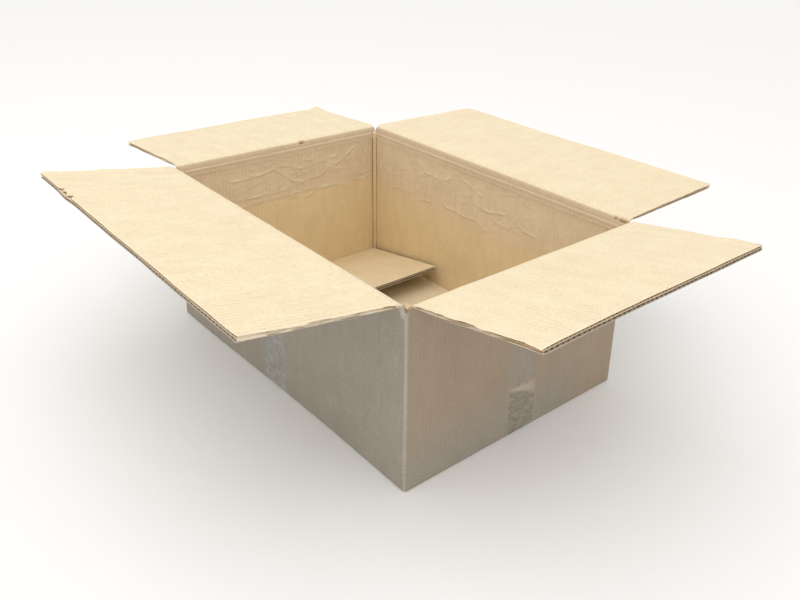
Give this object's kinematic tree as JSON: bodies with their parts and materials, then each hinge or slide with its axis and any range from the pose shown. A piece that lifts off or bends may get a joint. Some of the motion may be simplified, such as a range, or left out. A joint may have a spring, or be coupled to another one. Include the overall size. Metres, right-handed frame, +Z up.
{
  "type": "open corrugated carton",
  "caption": "Open used shipping carton of double-wall corrugated board, with its top flaps hinged and standing open.",
  "frame": {"origin": "middle of the underside, on the surface the carton stands on", "axes": "+X across the end walls to the right, +Y along the long walls to the back, +Z up"},
  "size_m": [0.8068, 0.9872, 0.3003],
  "materials": {
    "kraft_board": "matte",
    "packing_tape": "satin"
  },
  "bodies": {
    "carton": {"box_shell": "kraft_board", "seam_tape": "packing_tape", "side_tape": "packing_tape"},
    "left_flap": {"long_flap_left": "kraft_board"},
    "right_flap": {"long_flap_right": "kraft_board"},
    "front_flap": {"end_flap_front": "kraft_board"},
    "back_flap": {"end_flap_back": "kraft_board"},
    "floor_front": {"floor_flap_front": "kraft_board"},
    "floor_back": {"floor_flap_back": "kraft_board"}
  },
  "joints": [
    {"name": "left_flap_fold", "type": "hinge", "parent": "carton", "child": "left_flap", "pos_m": [-0.2025, 0, 0.2643], "axis": [0, 1, 0], "range_deg": [-68.9, 171.1]},
    {"name": "right_flap_fold", "type": "hinge", "parent": "carton", "child": "right_flap", "pos_m": [0.2025, 0, 0.2643], "axis": [0, -1, 0], "range_deg": [-63.1, 176.9]},
    {"name": "front_flap_fold", "type": "hinge", "parent": "carton", "child": "front_flap", "pos_m": [0, -0.2975, 0.26065], "axis": [-1, 0, 0], "range_deg": [-85.6, 169.4]},
    {"name": "back_flap_fold", "type": "hinge", "parent": "carton", "child": "back_flap", "pos_m": [0, 0.2975, 0.26065], "axis": [1, 0, 0], "range_deg": [-72.2, 182.8]},
    {"name": "floor_front_fold", "type": "hinge", "parent": "carton", "child": "floor_front", "pos_m": [0, -0.2875, 0.0143], "axis": [1, 0, 0], "range_deg": [0, 85]},
    {"name": "floor_back_fold", "type": "hinge", "parent": "carton", "child": "floor_back", "pos_m": [0, 0.2875, 0.0143], "axis": [-1, 0, 0], "range_deg": [-9, 76]}
  ]
}
